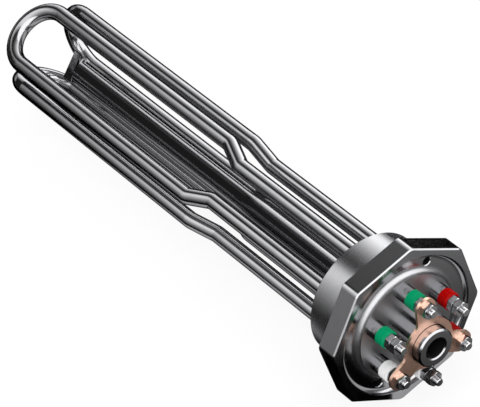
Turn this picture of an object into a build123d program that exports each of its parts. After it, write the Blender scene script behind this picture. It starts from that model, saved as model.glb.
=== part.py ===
"""Screw plug immersion heater, millimetres.

The heater's axis is X. The origin is on that axis in the flange's sealing face: the spigot and the
hairpins reach towards +X, and the terminals stand on the front face towards -X. One flat of the
octagon faces down, so the heater lies on that flat's edge and on the tips of its hairpins.
"""

import math
import os

from build123d import *

os.makedirs("parts", exist_ok=True)

# Plug head
side_count = 8
across_flats = 80.0
flange_thickness = 11.0
corner_radius = 4.0
edge_break = 0.6
spigot_radius = 32.0
spigot_length = 20.5
spigot_lead_in = 1.0

# Ring groove and cover screw holes in the front face
groove_inner_radius = 27.0
groove_outer_radius = 37.0
groove_depth = 3.0
screw_count = 2
screw_angle = 135.0
screw_core_radius = 2.1
screw_depth = 8.0
screw_countersink = 0.4
countersink_angle = 45.0

# Tubular elements
element_count = 3
sheath_radius = 4.25
sheath_wall = 0.7
pitch_radius = 21.2
pattern_angle = 73.5
bend_radius = 16.35
immersed_length = 290.0
joggle_start = 111.5
joggle_length = 14.0
joggle_bend = 6.0
stub_length = 6.0
cold_length = 80.0
coil_radius = 1.75

# Terminal pins, beads and nuts
pin_radius = 2.0
pin_reach = 21.5
pin_chamfer = 0.4
bead_radius = 4.5
bead_length = 5.5
bead_chamfer = 0.6
bead_neck = 3.0
neck_clearance = 0.05
nut_across_flats = 7.0
nut_height = 3.2
nut_chamfer_angle = 30.0
nut_gap = 0.6

# Star bridge
bridge_thickness = 1.5
bridge_arm_width = 11.0
bridge_hub_wall = 3.2
bridge_fillet = 4.0
bridge_hole_clearance = 0.15

# Thermostat pocket and its collar
pocket_radius = 6.2
pocket_wall = 1.0
pocket_round_end = 250.0
pinch_taper = 5.5
pinch_length = 5.0
pinch_width = 17.0
pinch_slit = 0.3
pinch_angle = 142.0
collar_wall = 4.5
collar_bore_radius = 5.5
collar_height = 21.0
collar_chamfer = 0.8
collar_bore_chamfer = 0.6
collar_socket_depth = 8.0
collar_clearance = 0.3

# Braze fillets at the spigot's end
braze_size = 1.0

# Places along the axis
front = -flange_thickness
bead_seat = front - stub_length
lower_nut_seat = bead_seat - bead_length
bridge_seat = lower_nut_seat - nut_height
bridged_nut_seat = bridge_seat - bridge_thickness
free_nut_seat = bridge_seat - nut_gap
pin_end = front - pin_reach
filling_start = bead_seat + bead_neck
pin_inner_end = spigot_length + cold_length
joggle_end = joggle_start + joggle_length
bend_start = immersed_length - sheath_radius - bend_radius
pocket_start = front - collar_socket_depth
pinch_start = pocket_round_end + pinch_taper

# Places and sizes round the axis
leg_count = 2 * element_count
plane_distance = pitch_radius * math.cos(math.pi / leg_count)
head_offset = pitch_radius * math.sin(math.pi / leg_count)
sheath_bore = sheath_radius - sheath_wall
screw_radius = (groove_inner_radius + groove_outer_radius) / 2
collar_radius = collar_bore_radius + collar_wall
hub_bore = collar_radius + collar_clearance
hub_radius = hub_bore + bridge_hub_wall


def element_angle(element):
    """Angle round the axis of the middle of one hairpin, in degrees."""
    return pattern_angle - element * 360 / element_count


def leg_angle(leg):
    """Angle round the axis of one leg. Legs are counted in pairs, hairpin by hairpin."""
    side = 1 if leg % 2 == 0 else -1
    return element_angle(leg // 2) + side * 180 / leg_count


def leg_place(leg, along=0.0):
    """Point on the centre line of one leg, at a place along the axis."""
    angle = math.radians(leg_angle(leg))
    return along, pitch_radius * math.cos(angle), pitch_radius * math.sin(angle)


def element_plane(element):
    """Plane that one hairpin is bent in. Its x runs along the heater's axis."""
    angle = math.radians(element_angle(element))
    out = Vector(0, math.cos(angle), math.sin(angle))
    return Plane(origin=out * plane_distance, x_dir=(1, 0, 0), z_dir=out)


def hairpin_tube(element, start, outer, inner=0.0):
    """Tube or rod swept along one hairpin, from a place along the axis and back to it."""
    with BuildLine(element_plane(element)) as path:
        for side in (-1, 1):
            FilletPolyline(
                (start, side * head_offset),
                (joggle_start, side * head_offset),
                (joggle_end, side * bend_radius),
                (bend_start, side * bend_radius),
                radius=joggle_bend,
            )
        ThreePointArc(
            (bend_start, -bend_radius),
            (bend_start + bend_radius, 0),
            (bend_start, bend_radius),
        )
    wire = path.wire()
    with BuildPart() as tube:
        with BuildSketch(Plane(origin=wire @ 0, z_dir=wire % 0)):
            Circle(outer)
            if inner > 0:
                Circle(inner, mode=Mode.SUBTRACT)
        sweep(path=wire)
    return tube.part


def braze_ring(radius):
    """Sloped ring round a tube of one radius, made on the axis with its foot at zero."""
    with BuildPart() as ring:
        with BuildSketch(Plane.XY):
            Polygon((0, radius), (0, radius + braze_size), (braze_size, radius), align=None)
        revolve(axis=Axis.X)
    return ring.part


def finish(solid, name):
    """Label one piece and write it to its own file."""
    solid.label = name
    export_step(solid, f"parts/{name}.step")


def place_on_legs(blank, name, seats):
    """Put a turned piece, made on the axis, on each leg at that leg's seat."""
    for leg, seat in seats.items():
        with BuildPart() as piece:
            with Locations(leg_place(leg, seat)):
                add(blank)
        finish(piece.part, f"{name}_{leg + 1}")


# Plug head: octagon and spigot in one piece
with BuildPart() as plug_head:
    with BuildSketch(Plane.YZ.offset(front)):
        half_side = 180 / side_count
        RegularPolygon(across_flats / 2, side_count, major_radius=False, rotation=half_side)
    extrude(amount=flange_thickness)
    fillet(plug_head.edges().filter_by(Axis.X), corner_radius)
    chamfer(plug_head.faces().filter_by(Axis.X).edges(), edge_break)
    with BuildSketch(Plane.YZ):
        Circle(spigot_radius)
    extrude(amount=spigot_length)
    chamfer(plug_head.faces().sort_by(Axis.X)[-1].edges(), spigot_lead_in)

    # Ring groove, its bottom corners fully rounded
    groove_floor = front + groove_depth
    with BuildSketch(Plane.XY):
        with BuildLine():
            inner_foot = (groove_floor, groove_inner_radius + groove_depth)
            outer_foot = (groove_floor, groove_outer_radius - groove_depth)
            Line((front, groove_outer_radius), (front, groove_inner_radius))
            RadiusArc((front, groove_inner_radius), inner_foot, -groove_depth)
            Line(inner_foot, outer_foot)
            RadiusArc(outer_foot, (front, groove_outer_radius), -groove_depth)
        make_face()
    revolve(axis=Axis.X, mode=Mode.SUBTRACT)

    # Cover screw holes in the groove's floor, with a small countersink
    with BuildSketch(Plane.YZ.offset(front)):
        with PolarLocations(screw_radius, screw_count, start_angle=screw_angle):
            Circle(screw_core_radius)
    extrude(amount=groove_depth + screw_depth, mode=Mode.SUBTRACT)
    with BuildSketch(Plane.YZ.offset(groove_floor - screw_countersink)):
        with PolarLocations(screw_radius, screw_count, start_angle=screw_angle):
            Circle(screw_core_radius + 2 * screw_countersink)
    extrude(amount=2 * screw_countersink, taper=countersink_angle, mode=Mode.SUBTRACT)

    # Bores for the legs and the pocket
    with BuildSketch(Plane.YZ.offset(front)):
        with PolarLocations(pitch_radius, leg_count, start_angle=leg_angle(0)):
            Circle(sheath_radius)
        Circle(pocket_radius)
    extrude(amount=flange_thickness + spigot_length, mode=Mode.SUBTRACT)
finish(plug_head.part, "plug_head")

# Hairpins: sheath, filling and coil
for element in range(element_count):
    number = element + 1
    sheath = hairpin_tube(element, bead_seat, sheath_radius, sheath_bore)
    finish(sheath, f"sheath_{number}")
    with BuildPart() as magnesia:
        add(hairpin_tube(element, filling_start, sheath_bore, coil_radius))
        with BuildSketch(Plane.YZ.offset(filling_start)):
            with Locations(*[leg_place(leg)[1:] for leg in (2 * element, 2 * element + 1)]):
                Circle(pin_radius)
        extrude(amount=pin_inner_end - filling_start, mode=Mode.SUBTRACT)
    finish(magnesia.part, f"magnesia_{number}")
    coil = hairpin_tube(element, pin_inner_end, coil_radius)
    finish(coil, f"coil_{number}")

# Bead: an outer collar and a neck that plugs the sheath
with BuildPart() as bead:
    with BuildSketch(Plane.YZ.offset(-bead_length)):
        Circle(bead_radius)
    extrude(amount=bead_length)
    chamfer(bead.faces().sort_by(Axis.X)[0].edges(), bead_chamfer)
    with BuildSketch(Plane.YZ):
        Circle(sheath_bore - neck_clearance)
    extrude(amount=bead_neck)
    with BuildSketch(Plane.YZ.offset(-bead_length)):
        Circle(pin_radius)
    extrude(amount=bead_length + bead_neck, mode=Mode.SUBTRACT)

# Terminal pin
with BuildPart() as terminal_pin:
    with BuildSketch(Plane.YZ):
        Circle(pin_radius)
    extrude(amount=pin_inner_end - pin_end)
    chamfer(terminal_pin.faces().sort_by(Axis.X)[0].edges(), pin_chamfer)

# Hexagon nut, its corners turned off at both ends
with BuildPart() as nut:
    flat_radius = nut_across_flats / 2
    nut_corner_radius = flat_radius / math.cos(math.pi / 6)
    corner_drop = (nut_corner_radius - flat_radius) * math.tan(math.radians(nut_chamfer_angle))
    with BuildSketch(Plane.XY):
        Polygon(
            (0, pin_radius),
            (0, flat_radius),
            (-corner_drop, nut_corner_radius),
            (corner_drop - nut_height, nut_corner_radius),
            (-nut_height, flat_radius),
            (-nut_height, pin_radius),
            align=None,
        )
    revolve(axis=Axis.X)
    with BuildSketch(Plane.YZ.offset(-nut_height)):
        RegularPolygon(flat_radius, 6, major_radius=False)
    extrude(amount=nut_height, mode=Mode.INTERSECT)

legs = range(leg_count)
bridged_legs = legs[::2]
upper_seats = {leg: bridged_nut_seat if leg in bridged_legs else free_nut_seat for leg in legs}
place_on_legs(bead.part, "bead", {leg: bead_seat for leg in legs})
place_on_legs(terminal_pin.part, "terminal_pin", {leg: pin_end for leg in legs})
place_on_legs(nut.part, "lower_nut", {leg: lower_nut_seat for leg in legs})
place_on_legs(nut.part, "upper_nut", upper_seats)

# Star bridge between the three bridged legs
with BuildPart() as star_bridge:
    with BuildSketch(Plane.YZ.offset(bridged_nut_seat)) as star:
        Circle(hub_radius)
        with PolarLocations(pitch_radius / 2, element_count, start_angle=leg_angle(0)):
            Rectangle(pitch_radius, bridge_arm_width)
        with PolarLocations(pitch_radius, element_count, start_angle=leg_angle(0)):
            Circle(bridge_arm_width / 2)
        crotches = star.vertices().group_by(lambda v: Vector(v).length)[0]
        fillet(crotches, bridge_fillet)
        Circle(hub_bore, mode=Mode.SUBTRACT)
        with PolarLocations(pitch_radius, element_count, start_angle=leg_angle(0)):
            Circle(pin_radius + bridge_hole_clearance, mode=Mode.SUBTRACT)
    extrude(amount=bridge_thickness)
finish(star_bridge.part, "star_bridge")

# Pocket tube, pinched flat and closed at its far end
with BuildPart() as pocket_tube:
    for radius, slot_length, slot_width, mode in (
        (pocket_radius, pinch_width, 2 * pocket_wall, Mode.ADD),
        (pocket_radius - pocket_wall, pinch_width - 2 * pocket_wall, pinch_slit, Mode.SUBTRACT),
    ):
        with BuildSketch(Plane.YZ.offset(pocket_start)):
            Circle(radius)
        extrude(amount=pocket_round_end - pocket_start, mode=mode)
        with BuildSketch(Plane.YZ.offset(pocket_round_end)):
            Circle(radius)
        with BuildSketch(Plane.YZ.offset(pinch_start)):
            SlotOverall(slot_length, slot_width, rotation=pinch_angle)
        loft(mode=mode)
    with BuildSketch(Plane.YZ.offset(pinch_start)):
        SlotOverall(pinch_width, 2 * pocket_wall, rotation=pinch_angle)
    extrude(amount=pinch_length)
finish(pocket_tube.part, "pocket_tube")

# Collar round the pocket's mouth
with BuildPart() as pocket_collar:
    collar_end = front - collar_height
    with BuildSketch(Plane.XY):
        Polygon(
            (front, pocket_radius),
            (front, collar_radius),
            (collar_end + collar_chamfer, collar_radius),
            (collar_end, collar_radius - collar_chamfer),
            (collar_end, collar_bore_radius + collar_bore_chamfer),
            (collar_end + collar_bore_chamfer, collar_bore_radius),
            (pocket_start, collar_bore_radius),
            (pocket_start, pocket_radius),
            align=None,
        )
    revolve(axis=Axis.X)
finish(pocket_collar.part, "pocket_collar")

# Braze fillets round the legs and the pocket
leg_ring = braze_ring(sheath_radius)
pocket_ring = braze_ring(pocket_radius)
with BuildPart() as braze_rings:
    with Locations(*[leg_place(leg, spigot_length) for leg in legs]):
        add(leg_ring)
    with Locations((spigot_length, 0, 0)):
        add(pocket_ring)
finish(braze_rings.part, "braze_rings")
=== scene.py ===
"""Looks of the screw plug immersion heater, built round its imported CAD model.

Lengths are metres in the part's own frame: +X runs along the heater from the flange to the bends.
"""

import math

import bmesh
import bpy
from bpy.props import FloatProperty, FloatVectorProperty, PointerProperty
from mathutils import Matrix, Vector


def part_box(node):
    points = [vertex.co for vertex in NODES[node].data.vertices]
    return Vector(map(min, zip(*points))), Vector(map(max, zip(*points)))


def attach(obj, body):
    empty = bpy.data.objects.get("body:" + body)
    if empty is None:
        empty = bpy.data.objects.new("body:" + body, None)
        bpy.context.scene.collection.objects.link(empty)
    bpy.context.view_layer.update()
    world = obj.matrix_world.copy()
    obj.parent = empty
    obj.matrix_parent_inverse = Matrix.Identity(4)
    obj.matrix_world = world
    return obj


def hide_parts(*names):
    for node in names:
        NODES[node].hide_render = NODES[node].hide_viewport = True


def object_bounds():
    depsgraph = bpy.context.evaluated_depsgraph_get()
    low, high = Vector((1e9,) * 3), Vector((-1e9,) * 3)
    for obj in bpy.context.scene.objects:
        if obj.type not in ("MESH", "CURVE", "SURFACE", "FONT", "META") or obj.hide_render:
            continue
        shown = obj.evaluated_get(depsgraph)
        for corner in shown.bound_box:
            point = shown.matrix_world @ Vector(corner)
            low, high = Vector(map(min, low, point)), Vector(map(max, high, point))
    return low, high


bl_info = {
    "name": "Immersion heater looks",
    "version": (1, 0, 0),
    "blender": (4, 5, 0),
    "location": "3D View > Sidebar > Heater",
    "description": "Dresses the immersion heater's frame and sets its studio",
    "category": "Object",
}

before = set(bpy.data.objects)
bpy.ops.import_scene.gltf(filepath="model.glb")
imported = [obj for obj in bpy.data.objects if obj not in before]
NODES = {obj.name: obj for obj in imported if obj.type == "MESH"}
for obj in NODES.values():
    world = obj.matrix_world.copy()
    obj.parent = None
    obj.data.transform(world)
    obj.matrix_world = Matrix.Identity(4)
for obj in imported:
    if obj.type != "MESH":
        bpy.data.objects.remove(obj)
CAD_BOX = [list(corner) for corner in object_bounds()]
BODY = "root"
MM = 0.001
MICRON = 0.001 * MM

LEGS = range(1, 7)
HAIRPINS = range(1, 4)
BEAD_COLOURS = ("green", "green", "white", "white", "red", "red")
AXIS = (1.0, 0.0, 0.0)
WHITE = (1.0, 1.0, 1.0, 1.0)

# Lays a shape that is built along Z along the heater's axis
ALONG_AXIS = Matrix.Rotation(math.pi / 2, 4, "Y")

# How finely the lines on a metal lie along X, Y and Z, per metre: on drawn steel, rolled copper,
# braze, and tumbled nuts and pins
DRAWN = (260.0, 5200.0, 5200.0)
ROLLED = (3000.0, 3000.0, 260.0)
BRAZED = (900.0, 900.0, 900.0)
TUMBLED = (2500.0, 2500.0, 2500.0)

# Handling marks: how much finer their grain is than their clouds, between which levels of noise
# a cloud sets in, and the same for the grain with the least and the most that it leaves of one
GRAIN_FINER = 5.3
CLOUD_LEVELS = (0.42, 0.68)
GRAIN_LEVELS = (0.3, 0.75, 0.35, 1.0)

# Scratches lie wider apart than the hairlines round them
SCRATCH_SCALE = 0.23
SCRATCH_LEVELS = (0.64, 0.7)

# A lathe's groove rises for half a turn and falls for the other, and varies over several turns
HALF_TURN = 0.5
RING_SCALE = 0.37
RING_LEVELS = (0.35, 0.7)

# What marks do to a metal: the shade of its colour under stains and under wear, the most of
# that shade that wear brings, and what each adds to the roughness
STAIN_SHADE = 0.72
WEAR_SHADE = 0.85
WEAR_SHARE = 0.12
STAIN_ROUGHER = 0.07
WEAR_ROUGHER = 0.03

# Inside the bore and the screw holes metal is dull, and painted shade darkens its colour
BORE_PAINTED_SHADE = 0.12
BORE_ROUGHER = 0.35
HOLE_PAINTED_SHADE = 0.1
HOLE_ROUGHER = 0.4

# Painted shade: a nearly black tint darkens polished metal towards its edges, as in the photo
RIM_PAINTED_SHADE = (0.02, 0.02, 0.02, 1.0)

# The plug head's flats are what lies further out than its half width less this, and further
# back than its front face by this
FLAT_MARGIN = 0.05 * MM
FACE_MARGIN = 0.1 * MM

# The plug head is rougher on its spigot and on the raised middle of its front face, which ends
# between these two radii and at the depth of the groove round it
SPIGOT_ROUGHER = 0.1
MIDDLE_ROUGHER = 0.2
MIDDLE_FADE = (31 * MM, 28 * MM)
GROOVE_DEPTH = 4 * MM

# The two cover screw holes: the turn of one from +Y through +Z, the radius of their circle,
# their own radius with a little of the edge, and where they start behind the front face
HOLE_TURN = math.radians(135)
HOLE_CIRCLE = 32 * MM
HOLE_RADIUS = 2.15 * MM
HOLE_START = 3.3 * MM

# Inside this radius, up to this place along the heater, lies the bore of pocket and collar
BORE = {"radius": 5.55 * MM, "end": 250 * MM}

# Finishes that aren't among the settings
COPPER_ROUGHNESS = 0.3
NUT_ROUGHNESS = 0.2
PIN_ROUGHNESS = 0.18
BRAZE_COLOUR = (0.78, 0.7, 0.52)
BRAZE_ROUGHNESS = 0.3
MAGNESIA_COLOUR = (0.85, 0.84, 0.8)
COIL_COLOUR = (0.3, 0.28, 0.26)

# The beads' gloss, the shade of their flow marks, between which levels of noise those set in and
# their least and most share, and the colour, share and roughness of dust
BEAD_ROUGHNESS = 0.3
BEAD_SPECULAR = 0.03
FLOW_SHADE = 0.78
FLOW_LEVELS = (0.35, 0.7, 0.0, 0.35)
DUST_COLOUR = (0.6, 0.58, 0.55, 1.0)
DUST_SHARE = 0.015
DUST_ROUGHER = 0.12

# The darkest shade in the grain of powder and wire, and how dull they are
POWDER_SHADE = 0.8
POWDER_ROUGHNESS = 0.85

# One pitch of thread, flat at the root and narrow at the crest: each point's place as a share of
# the pitch, and how deep it lies as a share of the thread's depth
THREAD_PROFILE = ((0.0, 1.0), (0.08, 1.0), (0.45, 0.0), (0.63, 0.0), (1.0, 1.0))

# Sides of a pin, and turns of thread beyond its length, which are cut off
PIN_SIDES = 32
SPARE_TURNS = 2

# Points nearer than this share of the pitch are merged, and a point this near a cut lies on it
MERGE_SHARE = 0.02
CUT_MARGIN = 0.1 * MICRON

# How far the chamfer at a pin's free end goes below the crest, in thread depths, its slope, and
# how squarely a face looks along the pin where it stays flat
CHAMFER_DEPTH = 1.3
CHAMFER_SLOPE = 0.9
END_FACE = 0.9

# The camera's sensor in millimetres, how near and far it sees, and the photo's size in pixels
SENSOR_WIDTH = 36.0
CAMERA_CLIP = (0.05, 50.0)
IMAGE_WIDTH = 480
IMAGE_HEIGHT = 407

# The floor's own colour and roughness, and its share of plain white where it is seen, which
# leaves the rest to its shadow
FLOOR_COLOUR = (0.9, 0.9, 0.9, 1.0)
FLOOR_ROUGHNESS = 0.9
FLOOR_WHITE = 0.88

# The dark cards on the floor: how high above it they lie, and how far out they reach, as a
# multiple of what the camera sees
MASK_LIFT = 0.5 * MM
MASK_SPREAD = 14

# The cards grow lighter along a direction, and only in front of the head
MASK_DIRECTION = (-0.71, -0.71, 0.0)
MASK_REACH = (20 * MM, 95 * MM)
MASK_LEVELS = (0.0, 0.42)
MASK_FRONT = (20 * MM, -10 * MM)

# Far out in front, a white card lies on the dark ones: the edges of the head mirror it
FAR_CARD_REACH = (250 * MM, 450 * MM)
FAR_CARD_LEVELS = (0.0, 2.6)

# The dark walls round the axis: their glow, their sides, and how far they reach either way from
# the flange, as a multiple of their radius
WALL_LEVEL = 0.03
WALL_SIDES = 128
TUNNEL_REACH = 4

# The strip lights stand just inside the walls, at this share of their radius. The glow of
# their soft edges rises with this power, and a side of their arc spans this many degrees.
STRIP_INSET = 0.97
STRIP_EDGE = 2.0
STRIP_STEP = 2

# Soft lights along the heater, placed by the turn round its axis from +Y through +Z, in degrees.
# Each has its start and end, the width of the soft edge at either side, its strength, the
# stretch along the axis that it covers, as a multiple of its radius, and between which places
# along +X it dies away.
STRIP_LIGHTS = {
    "key_strip": {
        "start": 62, "end": 76, "fade_in": 74, "fade_out": 16, "strength": 2.1,
        "along": (-0.2, 4), "ends": (1.25, 1.9),
    },
    "rim_strip": {
        "start": 162, "end": 176, "fade_in": 66, "fade_out": 16, "strength": 3.6,
        "along": (-0.2, 4), "ends": (3.0, 6.0),
    },
    "front_panel": {
        "start": 20, "end": 188, "fade_in": 16, "fade_out": 12, "strength": 3.0,
        "along": (-4, -0.2), "ends": (3.0, 6.0),
    },
}

# The soft lamp overhead: the length of its sides, and where it hangs
LAMP_SIZE = 2.5
LAMP_PLACE = (-0.6, -0.3, 2.2)


class SteelSettings(bpy.types.PropertyGroup):
    """Colours and finish of the steel pieces."""

    head_colour: FloatVectorProperty(
        name="Plug head",
        description="Colour of the turned plug head",
        default=(0.34, 0.34, 0.35),
        subtype="COLOR",
    )
    tube_colour: FloatVectorProperty(
        name="Tubes",
        description="Colour of the hairpins and the pocket",
        default=(0.32, 0.32, 0.33),
        subtype="COLOR",
    )
    nut_colour: FloatVectorProperty(
        name="Nuts",
        description="Colour of the plated nuts",
        default=(0.52, 0.52, 0.53),
        subtype="COLOR",
    )
    pin_colour: FloatVectorProperty(
        name="Pins",
        description="Colour of the threaded pins",
        default=(0.5, 0.5, 0.51),
        subtype="COLOR",
    )
    head_roughness: FloatProperty(
        name="Head roughness",
        description="Roughness of the plug head's flats and face away from their marks",
        default=0.14,
        subtype="FACTOR",
    )
    tube_roughness: FloatProperty(
        name="Tube roughness",
        description="Roughness of the polished tubes away from their marks",
        default=0.13,
        subtype="FACTOR",
    )


class TerminalSettings(bpy.types.PropertyGroup):
    """Colours and sizes of the terminals."""

    copper: FloatVectorProperty(
        name="Bridge",
        description="Colour of the copper bridge",
        default=(0.95, 0.6, 0.46),
        subtype="COLOR",
    )
    green: FloatVectorProperty(
        name="Green beads",
        description="Colour of the first hairpin's beads",
        default=(0.0, 0.24, 0.1),
        subtype="COLOR",
    )
    white: FloatVectorProperty(
        name="White beads",
        description="Colour of the second hairpin's beads",
        default=(0.84, 0.84, 0.84),
        subtype="COLOR",
    )
    red: FloatVectorProperty(
        name="Red beads",
        description="Colour of the third hairpin's beads",
        default=(0.32, 0.0, 0.0),
        subtype="COLOR",
    )
    thread_pitch: FloatProperty(
        name="Thread pitch",
        description="Pitch of the pins' threads",
        default=0.7 * MM,
        unit="LENGTH",
        precision=5,
    )
    thread_depth: FloatProperty(
        name="Thread depth",
        description="Depth of the pins' threads",
        default=0.2 * MM,
        unit="LENGTH",
        precision=5,
    )


class StudioSettings(bpy.types.PropertyGroup):
    """Camera, floor and light."""

    camera_place: FloatVectorProperty(
        name="Camera place",
        description="Where the camera stands",
        default=(-0.8384, 0.35985, 1.0656),
        subtype="TRANSLATION",
        precision=5,
    )
    camera_turn: FloatVectorProperty(
        name="Camera turn",
        description="How the camera is turned",
        default=(math.radians(40.898), math.radians(16.681), math.radians(-128.9146)),
        subtype="EULER",
        precision=5,
    )
    lens: FloatProperty(
        name="Lens",
        description="Focal length on a 36 mm sensor, in millimetres",
        default=228.7,
    )
    floor_size: FloatProperty(
        name="Floor size",
        description="Side of the floor",
        default=12.0,
        unit="LENGTH",
    )
    tunnel_radius: FloatProperty(
        name="Tunnel radius",
        description="Radius of the dark walls round the heater, inside which the strips stand",
        default=1.5,
        unit="LENGTH",
    )
    world_level: FloatProperty(
        name="Sky level",
        description="Strength of the even light from all round",
        default=0.75,
    )
    lamp_power: FloatProperty(
        name="Lamp power",
        description="Power of the large soft lamp overhead",
        default=50.0,
    )


def feed(tree, value, socket):
    """Link another node's socket to this one, or set this one's value."""
    if isinstance(value, bpy.types.NodeSocket):
        tree.links.new(value, socket)
    else:
        socket.default_value = value


def node(tree, kind, settings=None, **sockets):
    """Add a shader node with its settings. Sockets take a value, or another node's socket."""
    made = tree.nodes.new(kind)
    for name, value in (settings or {}).items():
        setattr(made, name, value)
    for name, value in sockets.items():
        feed(tree, value, made.inputs[name.replace("_", " ")])
    return made


def maths(tree, operation, *values):
    """The output of one Math node on values or sockets."""
    made = node(tree, "ShaderNodeMath", {"operation": operation})
    for value, socket in zip(values, made.inputs):
        feed(tree, value, socket)
    return made.outputs[0]


def vector_maths(tree, operation, *vectors):
    """One Vector Math node on vectors or sockets."""
    made = node(tree, "ShaderNodeVectorMath", {"operation": operation})
    for vector, socket in zip(vectors, made.inputs):
        feed(tree, vector, socket)
    return made


def sum_of_squares(tree, first, second):
    """The sum of the squares of two numbers."""
    return maths(
        tree, "ADD",
        maths(tree, "MULTIPLY", first, first),
        maths(tree, "MULTIPLY", second, second),
    )


def span(tree, value, low, high, to_low=0.0, to_high=1.0):
    """Value mapped from one range to another and held inside it."""
    made = node(
        tree, "ShaderNodeMapRange", {"clamp": True}, Value=value, From_Min=low, From_Max=high,
        To_Min=to_low, To_Max=to_high,
    )
    return made.outputs["Result"]


def blend_colour(tree, factor, first, second):
    """The output of one Mix node between two colours."""
    made = node(tree, "ShaderNodeMix", {"data_type": "RGBA"})
    for index, value in ((0, factor), (6, first), (7, second)):
        feed(tree, value, made.inputs[index])
    return made.outputs[2]


def blend_value(tree, factor, first, second):
    """The output of one Mix node between two numbers."""
    made = node(tree, "ShaderNodeMix", {"data_type": "FLOAT"})
    for index, value in ((0, factor), (2, first), (3, second)):
        feed(tree, value, made.inputs[index])
    return made.outputs[0]


def rgba(colour, shade=1.0):
    """A colour for a socket, at a share of its own lightness."""
    return (*(channel * shade for channel in colour), 1.0)


def far_along(tree, place, direction):
    """How far a place lies along a direction."""
    return vector_maths(tree, "DOT_PRODUCT", place, direction).outputs["Value"]


def axis_place(tree, place):
    """The distance from the heater's axis, and the place along it."""
    parts = node(tree, "ShaderNodeSeparateXYZ", Vector=place)
    aside = node(tree, "ShaderNodeCombineXYZ", Y=parts.outputs["Y"], Z=parts.outputs["Z"])
    reach = vector_maths(tree, "LENGTH", aside.outputs[0])
    return reach.outputs["Value"], parts.outputs["X"]


def on_flats(tree, reach, along, flats):
    """1 on the plug head's flats, and 0 elsewhere."""
    outside = maths(tree, "GREATER_THAN", reach, flats["radius"])
    return maths(tree, "MULTIPLY", outside, maths(tree, "GREATER_THAN", along, flats["start"]))


def in_bore(tree, reach, along, bore):
    """1 inside a bore round the axis, and 0 elsewhere."""
    near = maths(tree, "LESS_THAN", reach, bore["radius"])
    return maths(tree, "MULTIPLY", near, maths(tree, "LESS_THAN", along, bore["end"]))


def in_screw_holes(tree, place, along, start):
    """1 inside either of the two opposite cover screw holes, and 0 elsewhere."""
    across, up = math.cos(HOLE_TURN), math.sin(HOLE_TURN)
    outward = maths(tree, "ABSOLUTE", far_along(tree, place, (0, across, up)))
    outward = maths(tree, "SUBTRACT", outward, HOLE_CIRCLE)
    aside = far_along(tree, place, (0, -up, across))
    near = maths(tree, "LESS_THAN", sum_of_squares(tree, outward, aside), HOLE_RADIUS ** 2)
    return maths(tree, "MULTIPLY", near, maths(tree, "GREATER_THAN", along, start))


def new_group(name, inputs, outputs):
    """An empty effect group with its named sockets, and its input and output nodes."""
    group = bpy.data.node_groups.new(name, "ShaderNodeTree")
    for socket_name, kind, default in inputs:
        socket = group.interface.new_socket(
            socket_name, in_out="INPUT", socket_type=f"NodeSocket{kind}"
        )
        if default is not None:
            socket.default_value = default
    for socket_name in outputs:
        group.interface.new_socket(
            socket_name, in_out="OUTPUT", socket_type="NodeSocketFloat"
        )
    return group, group.nodes.new("NodeGroupInput"), group.nodes.new("NodeGroupOutput")


def make_smudge_group():
    """Cloudy handling marks: soft patches broken up by finer ones."""
    group, given, made = new_group(
        "handling_marks",
        (("Vector", "Vector", None), ("Size", "Float", 12 * MM)),
        ("Mask",),
    )
    scale = maths(group, "DIVIDE", 1.0, given.outputs["Size"])
    finer = maths(group, "MULTIPLY", scale, GRAIN_FINER)
    clouds = node(
        group, "ShaderNodeTexNoise", Vector=given.outputs["Vector"], Scale=scale, Detail=3.0,
        Roughness=0.55, Distortion=0.6,
    )
    grains = node(
        group, "ShaderNodeTexNoise", Vector=given.outputs["Vector"], Scale=finer, Detail=4.0,
        Roughness=0.6,
    )
    patches = span(group, clouds.outputs["Fac"], *CLOUD_LEVELS)
    broken = span(group, grains.outputs["Fac"], *GRAIN_LEVELS)
    group.links.new(maths(group, "MULTIPLY", patches, broken), made.inputs["Mask"])
    return group


def make_hairline_group():
    """Fine lines drawn out along one direction, with a few deeper scratches among them."""
    group, given, made = new_group(
        "hairlines",
        (("Vector", "Vector", None), ("Across", "Vector", DRAWN)),
        ("Height", "Scratches"),
    )
    stretched = vector_maths(
        group, "MULTIPLY", given.outputs["Vector"], given.outputs["Across"]
    ).outputs["Vector"]
    lines = node(
        group, "ShaderNodeTexNoise", Vector=stretched, Scale=1.0, Detail=4.0, Roughness=0.65
    )
    deep = node(group, "ShaderNodeTexNoise", Vector=stretched, Scale=SCRATCH_SCALE, Detail=1.0)
    scratches = span(group, deep.outputs["Fac"], *SCRATCH_LEVELS)
    group.links.new(lines.outputs["Fac"], made.inputs["Height"])
    group.links.new(scratches, made.inputs["Scratches"])
    return group


def make_turning_group():
    """Rings that a lathe leaves on faces and round barrels about the X axis."""
    group, given, made = new_group(
        "turning_marks",
        (("Vector", "Vector", None), ("Pitch", "Float", 0.3 * MM)),
        ("Height", "Rings"),
    )
    parts = node(group, "ShaderNodeSeparateXYZ", Vector=given.outputs["Vector"])
    across = maths(group, "SQRT", sum_of_squares(group, parts.outputs["Y"], parts.outputs["Z"]))
    travel = maths(group, "ADD", across, parts.outputs["X"])
    turns = maths(group, "DIVIDE", travel, given.outputs["Pitch"])
    groove = maths(group, "PINGPONG", turns, HALF_TURN)
    rings = node(
        group, "ShaderNodeTexNoise", {"noise_dimensions": "1D"}, W=turns, Scale=RING_SCALE,
        Detail=4.0, Roughness=0.7,
    ).outputs["Fac"]
    group.links.new(maths(group, "MULTIPLY", groove, rings), made.inputs["Height"])
    group.links.new(span(group, rings, *RING_LEVELS), made.inputs["Rings"])
    return group


def effect(tree, name, **sockets):
    """Place one of the effect groups in a material."""
    return node(tree, "ShaderNodeGroup", {"node_tree": EFFECTS[name]}, **sockets)


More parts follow.
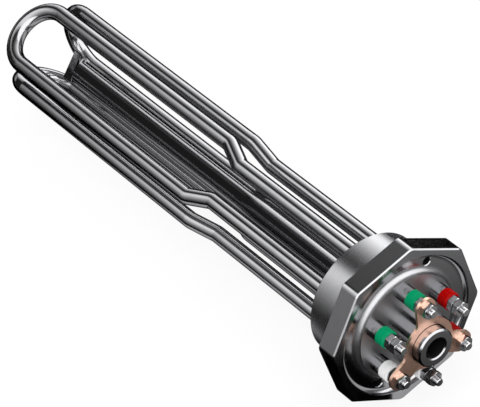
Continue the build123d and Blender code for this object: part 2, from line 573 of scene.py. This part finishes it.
def new_material(name):
    """A node material: its tree, its Principled shader and the Object coordinates."""
    material = bpy.data.materials.new(name)
    material.use_nodes = True
    tree = material.node_tree
    shader = tree.nodes["Principled BSDF"]
    place = tree.nodes.new("ShaderNodeTexCoord").outputs["Object"]
    return material, tree, shader, place


def bump(tree, shader, height, depth, strength=1.0):
    """Fine relief as deep as depth, from a height of 0 to 1."""
    made = node(tree, "ShaderNodeBump", Height=height, Distance=depth, Strength=strength)
    tree.links.new(made.outputs["Normal"], shader.inputs["Normal"])


def metal(
    name, colour, roughness, marks, stain=0.25, smudge_size=12 * MM, depth=2 * MICRON, bore=None,
    flats=None, holes_start=None, **lines
):
    """Metal with handling marks in its tone and gloss, and tool marks in its relief.

    Inside a bore and inside screw holes it is duller and darkened by painted shade. On flats it is
    drawn, not turned.
    The roughness is a number, or a function that works it out from the place on the piece.
    """
    material, tree, shader, place = new_material(name)
    shader.inputs["Metallic"].default_value = 1.0
    # Painted shade darkens the reflection towards the metal's edges
    shader.inputs["Specular Tint"].default_value = RIM_PAINTED_SHADE
    reach, along = axis_place(tree, place)
    smudges = effect(tree, "handling_marks", Vector=place, Size=smudge_size).outputs["Mask"]
    tool = effect(tree, marks, Vector=place, **lines)
    height, wear = tool.outputs[0], tool.outputs[1]
    if flats:
        drawn = effect(tree, "hairlines", Vector=place, Across=DRAWN)
        outside = on_flats(tree, reach, along, flats)
        height = blend_value(tree, outside, height, drawn.outputs["Height"])
        wear = blend_value(tree, outside, wear, drawn.outputs["Scratches"])
    if callable(roughness):
        roughness = roughness(tree, reach, along)
    tone = maths(tree, "MULTIPLY", smudges, stain)
    stained = blend_colour(tree, tone, rgba(colour), rgba(colour, STAIN_SHADE))
    tone = maths(tree, "MULTIPLY", wear, WEAR_SHARE)
    wear_and_hollow_shade = blend_colour(tree, tone, stained, rgba(colour, WEAR_SHADE))
    duller = maths(tree, "MULTIPLY_ADD", smudges, STAIN_ROUGHER, roughness)
    duller = maths(tree, "MULTIPLY_ADD", wear, WEAR_ROUGHER, duller)
    # Painted shade: the colour darkens inside the bore and the screw holes, which also grow
    # rougher
    shaded_hollows = []
    if bore:
        shaded_hollows.append((in_bore(tree, reach, along, bore), BORE_PAINTED_SHADE, BORE_ROUGHER))
    if holes_start is not None:
        holes = in_screw_holes(tree, place, along, holes_start)
        shaded_hollows.append((holes, HOLE_PAINTED_SHADE, HOLE_ROUGHER))
    for inside, shade, rougher in shaded_hollows:
        wear_and_hollow_shade = blend_colour(tree, inside, wear_and_hollow_shade, rgba(colour, shade))
        duller = maths(tree, "MULTIPLY_ADD", inside, rougher, duller)
    tree.links.new(wear_and_hollow_shade, shader.inputs["Base Color"])
    tree.links.new(duller, shader.inputs["Roughness"])
    bump(tree, shader, height, depth)
    return material


def moulded(name, colour):
    """Gloss moulded material with flow marks, a slight orange peel and dust."""
    material, tree, shader, place = new_material(name)
    shader.inputs["Specular IOR Level"].default_value = BEAD_SPECULAR
    flow = node(
        tree, "ShaderNodeTexNoise", Vector=place, Scale=420.0, Detail=3.0, Distortion=0.8
    ).outputs["Fac"]
    dust = effect(tree, "handling_marks", Vector=place, Size=3 * MM).outputs["Mask"]
    flow = span(tree, flow, *FLOW_LEVELS)
    base = blend_colour(tree, flow, rgba(colour), rgba(colour, FLOW_SHADE))
    dusty = blend_colour(tree, maths(tree, "MULTIPLY", dust, DUST_SHARE), base, DUST_COLOUR)
    duller = maths(tree, "MULTIPLY_ADD", dust, DUST_ROUGHER, BEAD_ROUGHNESS)
    tree.links.new(dusty, shader.inputs["Base Color"])
    tree.links.new(duller, shader.inputs["Roughness"])
    peel = node(tree, "ShaderNodeTexNoise", Vector=place, Scale=2600.0, Detail=2.0)
    bump(tree, shader, peel.outputs["Fac"], depth=8 * MICRON, strength=0.5)
    return material


def powder(name, colour):
    """Dull pressed powder or wire inside the hairpins."""
    material, tree, shader, place = new_material(name)
    grain = node(tree, "ShaderNodeTexNoise", Vector=place, Scale=3000.0, Detail=3.0).outputs["Fac"]
    shaded = blend_colour(tree, grain, rgba(colour), rgba(colour, POWDER_SHADE))
    tree.links.new(shaded, shader.inputs["Base Color"])
    shader.inputs["Roughness"].default_value = POWDER_ROUGHNESS
    bump(tree, shader, grain, depth=20 * MICRON)
    return material


def dress(names, material):
    """Give CAD nodes a material."""
    for name in names:
        mesh = NODES[name].data
        mesh.materials.clear()
        mesh.materials.append(material)


def new_object(name, made, material):
    """Link a finished bmesh to the scene as an object with its material."""
    mesh = bpy.data.meshes.new(name)
    made.to_mesh(mesh)
    made.free()
    mesh.materials.append(material)
    thing = bpy.data.objects.new(name, mesh)
    bpy.context.scene.collection.objects.link(thing)
    return thing


def new_piece(name, made, material, replaced):
    """A new piece that stands for CAD nodes."""
    piece = new_object(name, made, material)
    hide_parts(*replaced)
    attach(piece, BODY)
    return piece


class PlugHeadOperator(bpy.types.Operator):
    """Finish the plug head in turned steel"""

    bl_idname = "heater.plug_head"
    bl_label = "Plug head"

    def execute(self, context):
        steel = context.scene.heater_steel
        low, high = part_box("plug_head")
        flats = {"radius": high.z - FLAT_MARGIN, "start": low.x + FACE_MARGIN}

        def finish(tree, reach, along):
            """Polished flats and front face, a satin raised middle and a duller spigot."""
            middle = span(tree, reach, *MIDDLE_FADE)
            raised = maths(tree, "LESS_THAN", along, low.x + GROOVE_DEPTH)
            middle = maths(tree, "MULTIPLY", middle, raised)
            spigot = maths(tree, "GREATER_THAN", along, 0.0)
            satin = maths(tree, "MULTIPLY_ADD", middle, MIDDLE_ROUGHER, steel.head_roughness)
            return maths(tree, "MULTIPLY_ADD", spigot, SPIGOT_ROUGHER, satin)

        turned = metal(
            "turned_steel", steel.head_colour, finish, "turning_marks", smudge_size=20 * MM,
            depth=3 * MICRON, flats=flats, holes_start=low.x + HOLE_START, Pitch=0.35 * MM,
        )
        dress(["plug_head"], turned)
        return {"FINISHED"}


class TubesOperator(bpy.types.Operator):
    """Finish the hairpins, the pocket and its collar in polished steel"""

    bl_idname = "heater.tubes"
    bl_label = "Tubes and pocket"

    def execute(self, context):
        steel = context.scene.heater_steel
        sheath = metal(
            "sheath_steel", steel.tube_colour, steel.tube_roughness, "hairlines",
            smudge_size=18 * MM, depth=1 * MICRON, Across=DRAWN,
        )
        pocket = metal(
            "pocket_steel", steel.tube_colour, steel.tube_roughness, "hairlines",
            smudge_size=26 * MM, depth=1 * MICRON, bore=BORE, Across=DRAWN,
        )
        collar = metal(
            "collar_steel", steel.tube_colour, steel.tube_roughness, "turning_marks",
            smudge_size=8 * MM, bore=BORE, Pitch=0.2 * MM,
        )
        dress([f"sheath_{n}" for n in HAIRPINS], sheath)
        dress(["pocket_tube"], pocket)
        dress(["pocket_collar"], collar)
        return {"FINISHED"}


class InnerOperator(bpy.types.Operator):
    """Finish the filling, the coils and the braze"""

    bl_idname = "heater.inner"
    bl_label = "Filling, coils and braze"

    def execute(self, context):
        braze = metal(
            "braze", BRAZE_COLOUR, BRAZE_ROUGHNESS, "hairlines", smudge_size=4 * MM,
            depth=30 * MICRON, Across=BRAZED,
        )
        dress([f"magnesia_{n}" for n in HAIRPINS], powder("magnesia", MAGNESIA_COLOUR))
        dress([f"coil_{n}" for n in HAIRPINS], powder("coil_wire", COIL_COLOUR))
        dress(["braze_rings"], braze)
        return {"FINISHED"}


class BridgeOperator(bpy.types.Operator):
    """Finish the star bridge in polished copper"""

    bl_idname = "heater.bridge"
    bl_label = "Star bridge"

    def execute(self, context):
        copper = metal(
            "copper", context.scene.heater_terminals.copper, COPPER_ROUGHNESS, "hairlines",
            stain=0.8, smudge_size=6 * MM, Across=ROLLED,
        )
        dress(["star_bridge"], copper)
        return {"FINISHED"}


class BeadsOperator(bpy.types.Operator):
    """Finish the insulating beads in their three colours"""

    bl_idname = "heater.beads"
    bl_label = "Beads"

    def execute(self, context):
        terminals = context.scene.heater_terminals
        for colour in ("green", "white", "red"):
            names = [f"bead_{leg}" for leg in LEGS if BEAD_COLOURS[leg - 1] == colour]
            dress(names, moulded(f"bead_{colour}", getattr(terminals, colour)))
        return {"FINISHED"}


class NutsOperator(bpy.types.Operator):
    """Finish the nuts in bright plated steel"""

    bl_idname = "heater.nuts"
    bl_label = "Nuts"

    def execute(self, context):
        plated = metal(
            "plated_steel", context.scene.heater_steel.nut_colour, NUT_ROUGHNESS, "hairlines",
            smudge_size=3 * MM, depth=0.6 * MICRON, Across=TUMBLED,
        )
        dress([f"{kind}_nut_{leg}" for kind in ("lower", "upper") for leg in LEGS], plated)
        return {"FINISHED"}


class PinsOperator(bpy.types.Operator):
    """Cut real threads on the ends of the terminal pins"""

    bl_idname = "heater.pins"
    bl_label = "Threaded pins"

    def execute(self, context):
        terminals = context.scene.heater_terminals
        bright = metal(
            "pin_steel", context.scene.heater_steel.pin_colour, PIN_ROUGHNESS, "hairlines",
            smudge_size=3 * MM, Across=TUMBLED,
        )
        for leg in LEGS:
            low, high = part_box(f"terminal_pin_{leg}")
            bead_low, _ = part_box(f"bead_{leg}")
            pin = threaded_pin(low, high, bead_low.x, terminals)
            new_piece(f"threaded_pin_{leg}", pin, bright, [f"terminal_pin_{leg}"])
        return {"FINISHED"}


def threaded_pin(low, high, thread_foot, terminals):
    """A pin along X: a plain shank behind the bead's face and a cut thread in front of it."""
    pitch, depth = terminals.thread_pitch, terminals.thread_depth
    radius = (high.y - low.y) / 2
    made = bmesh.new()

    # Thread from before the free end to behind its foot, cut off square at both
    turns = math.ceil((thread_foot - low.x) / pitch) + SPARE_TURNS
    start = low.x - pitch
    points = [
        made.verts.new((start + at * pitch, 0, radius - down * depth))
        for at, down in THREAD_PROFILE
    ]
    for first, second in zip(points, points[1:]):
        made.edges.new((first, second))
    bmesh.ops.spin(
        made, geom=made.verts[:] + made.edges[:], cent=(0, 0, 0), axis=AXIS,
        dvec=(pitch / PIN_SIDES, 0, 0), angle=math.tau * turns, steps=PIN_SIDES * turns,
        use_merge=False,
    )
    bmesh.ops.remove_doubles(made, verts=made.verts[:], dist=pitch * MERGE_SHARE)
    for at, direction in ((low.x, -1), (thread_foot, 1)):
        cut = bmesh.ops.bisect_plane(
            made, geom=made.verts[:] + made.edges[:] + made.faces[:], dist=CUT_MARGIN,
            plane_co=(at, 0, 0), plane_no=(direction, 0, 0), clear_outer=True,
        )
        rim = [e for e in cut["geom_cut"] if isinstance(e, bmesh.types.BMEdge)]
        bmesh.ops.edgenet_fill(made, edges=rim)

    # Lead-in chamfer at the free end
    end_radius = radius - depth * CHAMFER_DEPTH
    for vert in made.verts:
        reach = math.hypot(vert.co.y, vert.co.z)
        allowed = end_radius + (vert.co.x - low.x) * CHAMFER_SLOPE
        if reach > allowed:
            vert.co.y *= allowed / reach
            vert.co.z *= allowed / reach

    # Plain shank
    length = high.x - thread_foot
    middle = Matrix.Translation((thread_foot + length / 2, 0, 0))
    bmesh.ops.create_cone(
        made, cap_ends=True, cap_tris=False, segments=PIN_SIDES, radius1=radius, radius2=radius,
        depth=length, matrix=middle @ ALONG_AXIS,
    )
    aside = (0, (low.y + high.y) / 2, (low.z + high.z) / 2)
    bmesh.ops.translate(made, verts=made.verts[:], vec=aside)
    bmesh.ops.recalc_face_normals(made, faces=made.faces[:])
    for face in made.faces:
        face.smooth = len(face.verts) <= 4 and abs(face.normal.x) < END_FACE
    return made


class StageOperator(bpy.types.Operator):
    """Set the floor, the lights and the camera"""

    bl_idname = "heater.stage"
    bl_label = "Studio"

    def execute(self, context):
        scene, studio = context.scene, context.scene.heater_studio
        set_camera(scene, studio)
        set_world(scene, studio)
        set_floor(studio)
        set_mask(scene.camera)
        set_walls(studio)
        strips = {name: set_strip(studio, name, light) for name, light in STRIP_LIGHTS.items()}
        shade_from(strips["key_strip"], ["pocket_tube"])
        set_lamp(scene, studio)
        return {"FINISHED"}


def set_camera(scene, studio):
    """The photo's camera."""
    data = bpy.data.cameras.new("camera")
    data.lens = studio.lens
    data.sensor_width = SENSOR_WIDTH
    data.clip_start, data.clip_end = CAMERA_CLIP
    camera = bpy.data.objects.new("camera", data)
    camera.location = studio.camera_place
    camera.rotation_euler = studio.camera_turn
    scene.collection.objects.link(camera)
    scene.camera = camera
    scene.view_settings.view_transform = "Standard"


def seen_directly(tree):
    """A socket that is 1 for camera, glossy and transmission rays and 0 for the light's own."""
    path = tree.nodes.new("ShaderNodeLightPath")
    seen = maths(tree, "MAXIMUM", path.outputs["Is Camera Ray"], path.outputs["Is Glossy Ray"])
    return maths(tree, "MAXIMUM", seen, path.outputs["Is Transmission Ray"])


def set_world(scene, studio):
    """White where it is seen, and an even plain light elsewhere."""
    world = bpy.data.worlds.new("studio")
    world.use_nodes = True
    scene.world = world
    tree = world.node_tree
    background = tree.nodes["Background"]
    background.inputs["Color"].default_value = WHITE
    level = span(tree, seen_directly(tree), 0.0, 1.0, studio.world_level, 1.0)
    tree.links.new(level, background.inputs["Strength"])


def show(tree, shader):
    """Put a shader on the surface."""
    tree.links.new(shader.outputs[0], tree.nodes["Material Output"].inputs["Surface"])


def set_floor(studio):
    """Pale floor under the heater that stays near white and keeps its shadow."""
    material, tree, shader, _ = new_material("floor")
    shader.inputs["Base Color"].default_value = FLOOR_COLOUR
    shader.inputs["Roughness"].default_value = FLOOR_ROUGHNESS
    shader.inputs["Specular IOR Level"].default_value = 0.0
    glow = node(tree, "ShaderNodeEmission", Strength=1.0)
    share = maths(tree, "MULTIPLY", seen_directly(tree), FLOOR_WHITE)
    mixed = node(tree, "ShaderNodeMixShader")
    for value, socket in zip((share, shader.outputs[0], glow.outputs[0]), mixed.inputs):
        tree.links.new(value, socket)
    show(tree, mixed)
    made = bmesh.new()
    bmesh.ops.create_grid(
        made, x_segments=1, y_segments=1, size=studio.floor_size / 2,
        matrix=Matrix.Translation((0, 0, CAD_BOX[0][2])),
    )
    new_object("floor", made, material)


def glow_material(name):
    """A node material without a shader: its tree, and the Object coordinates."""
    material, tree, shader, place = new_material(name)
    tree.nodes.remove(shader)
    return material, tree, place


def reflected_only(name, made, material):
    """A stage object that only the heater's gloss sees: it gives no light and no shadow."""
    thing = new_object(name, made, material)
    for ray in ("camera", "diffuse", "transmission", "volume_scatter", "shadow"):
        setattr(thing, f"visible_{ray}", False)
    return thing


def set_mask(camera):
    """Dark cards on the floor, all round what the camera sees of it.

    The steel shows the white floor inside the picture and the dark cards beyond its edges, as
    it does in bright-field light, which gives polished metal dark rims.
    """
    turn = camera.rotation_euler.to_matrix()
    half_width = camera.data.sensor_width / 2
    half_height = half_width * IMAGE_HEIGHT / IMAGE_WIDTH
    card_level = CAD_BOX[0][2] + MASK_LIFT
    drop = card_level - camera.location.z
    made = bmesh.new()
    corners = []
    for across, up in ((-1, -1), (1, -1), (1, 1), (-1, 1)):
        sight = turn @ Vector((across * half_width, up * half_height, -camera.data.lens))
        corners.append(made.verts.new(camera.location + sight * drop / sight.z))
    inner = [made.edges.new((a, b)) for a, b in zip(corners, corners[1:] + corners[:1])]
    middle = sum((v.co for v in corners), Vector()) / len(corners)
    outer = bmesh.ops.extrude_edge_only(made, edges=inner)["geom"]
    bmesh.ops.scale(
        made, verts=[v for v in outer if isinstance(v, bmesh.types.BMVert)],
        vec=(MASK_SPREAD, MASK_SPREAD, 1), space=Matrix.Translation(-middle),
    )
    material, tree, place = glow_material("mask")
    reach = far_along(tree, place, MASK_DIRECTION)
    level = maths(
        tree, "ADD",
        span(tree, reach, *MASK_REACH, *MASK_LEVELS),
        span(tree, reach, *FAR_CARD_REACH, *FAR_CARD_LEVELS),
    )
    front = span(tree, far_along(tree, place, AXIS), *MASK_FRONT)
    show(tree, node(tree, "ShaderNodeEmission", Strength=maths(tree, "MULTIPLY", level, front)))
    reflected_only("mask", made, material)


def set_walls(studio):
    """Dark studio walls round the heater's axis."""
    material, tree, _ = glow_material("walls")
    show(tree, node(tree, "ShaderNodeEmission", Strength=WALL_LEVEL))
    made = bmesh.new()
    bmesh.ops.create_cone(
        made, cap_ends=False, segments=WALL_SIDES, radius1=studio.tunnel_radius,
        radius2=studio.tunnel_radius, depth=2 * TUNNEL_REACH * studio.tunnel_radius,
        matrix=ALONG_AXIS,
    )
    reflected_only("walls", made, material)


def set_strip(studio, name, light):
    """One strip light: an arc round the heater's axis with soft long edges."""
    material, tree, place = glow_material(name)
    first = light["start"] - light["fade_in"]
    last = light["end"] + light["fade_out"]
    parts = node(tree, "ShaderNodeSeparateXYZ", Vector=place)
    radians = maths(tree, "ARCTAN2", parts.outputs["Z"], parts.outputs["Y"])
    turn = maths(tree, "DEGREES", radians)
    rise = span(tree, turn, first, light["start"])
    fall = span(tree, turn, light["end"], last, 1.0, 0.0)
    edge = maths(tree, "POWER", maths(tree, "MULTIPLY", rise, fall), STRIP_EDGE)
    end = span(tree, far_along(tree, place, AXIS), *light["ends"], 1.0, 0.0)
    share = maths(tree, "MULTIPLY", edge, end)
    level = maths(tree, "MULTIPLY", share, light["strength"])
    glow = node(tree, "ShaderNodeEmission", Strength=level)
    clear = tree.nodes.new("ShaderNodeBsdfTransparent")
    both = tree.nodes.new("ShaderNodeAddShader")
    tree.links.new(glow.outputs[0], both.inputs[0])
    tree.links.new(clear.outputs[0], both.inputs[1])
    show(tree, both)

    made = bmesh.new()
    radius = studio.tunnel_radius * STRIP_INSET
    toward = Vector((0, math.cos(math.radians(first)), math.sin(math.radians(first)))) * radius
    ends = [made.verts.new(toward + Vector((at * radius, 0, 0))) for at in light["along"]]
    made.edges.new(ends)
    bmesh.ops.spin(
        made, geom=made.verts[:] + made.edges[:], cent=(0, 0, 0), axis=AXIS,
        angle=math.radians(last - first), steps=int(last - first) // STRIP_STEP,
    )
    return reflected_only(name, made, material)


def shade_from(strip, names):
    """Keep a strip light's gloss off some nodes, as a flag held between them would."""
    shaded = bpy.data.collections.new(f"shaded_from_{strip.name}")
    for name in names:
        shaded.objects.link(NODES[name])
    strip.light_linking.receiver_collection = shaded
    for member in shaded.collection_objects:
        member.light_linking.link_state = "EXCLUDE"


def set_lamp(scene, studio):
    """One large soft lamp overhead, turned to the flange."""
    data = bpy.data.lights.new("softbox", "AREA")
    data.shape = "SQUARE"
    data.size = LAMP_SIZE
    data.energy = studio.lamp_power
    lamp = bpy.data.objects.new("softbox", data)
    lamp.location = LAMP_PLACE
    lamp.rotation_euler = (-lamp.location).to_track_quat("-Z", "Y").to_euler()
    lamp.visible_glossy = False
    scene.collection.objects.link(lamp)


class HeaterPanel(bpy.types.Panel):
    """Sizes, colours and steps of the immersion heater."""

    bl_idname = "VIEW3D_PT_heater"
    bl_label = "Immersion heater"
    bl_space_type = "VIEW_3D"
    bl_region_type = "UI"
    bl_category = "Heater"

    def draw(self, context):
        for group in SETTINGS:
            settings = getattr(context.scene, group)
            column = self.layout.column(align=True)
            for name in settings.bl_rna.properties.keys():
                if name not in ("rna_type", "name"):
                    column.prop(settings, name)
        for operator in OPERATORS:
            self.layout.operator(operator.bl_idname)


SETTINGS = {
    "heater_steel": SteelSettings,
    "heater_terminals": TerminalSettings,
    "heater_studio": StudioSettings,
}
OPERATORS = (
    PlugHeadOperator,
    TubesOperator,
    InnerOperator,
    BridgeOperator,
    BeadsOperator,
    NutsOperator,
    PinsOperator,
    StageOperator,
)
EFFECTS = {}


def register():
    """Register the add-on's classes and give the scene its settings."""
    for kind in (*SETTINGS.values(), *OPERATORS, HeaterPanel):
        bpy.utils.register_class(kind)
    for name, kind in SETTINGS.items():
        setattr(bpy.types.Scene, name, PointerProperty(type=kind))


def unregister():
    """Take the settings off the scene and unregister the classes."""
    for name in SETTINGS:
        delattr(bpy.types.Scene, name)
    for kind in (*SETTINGS.values(), *OPERATORS, HeaterPanel):
        bpy.utils.unregister_class(kind)


def main():
    """Register the add-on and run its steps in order."""
    register()
    for make in (make_smudge_group, make_hairline_group, make_turning_group):
        group = make()
        EFFECTS[group.name] = group
    for operator in OPERATORS:
        _, name = operator.bl_idname.split(".")
        getattr(bpy.ops.heater, name)()
    bpy.context.view_layer.update()


if __name__ == "__main__":
    main()
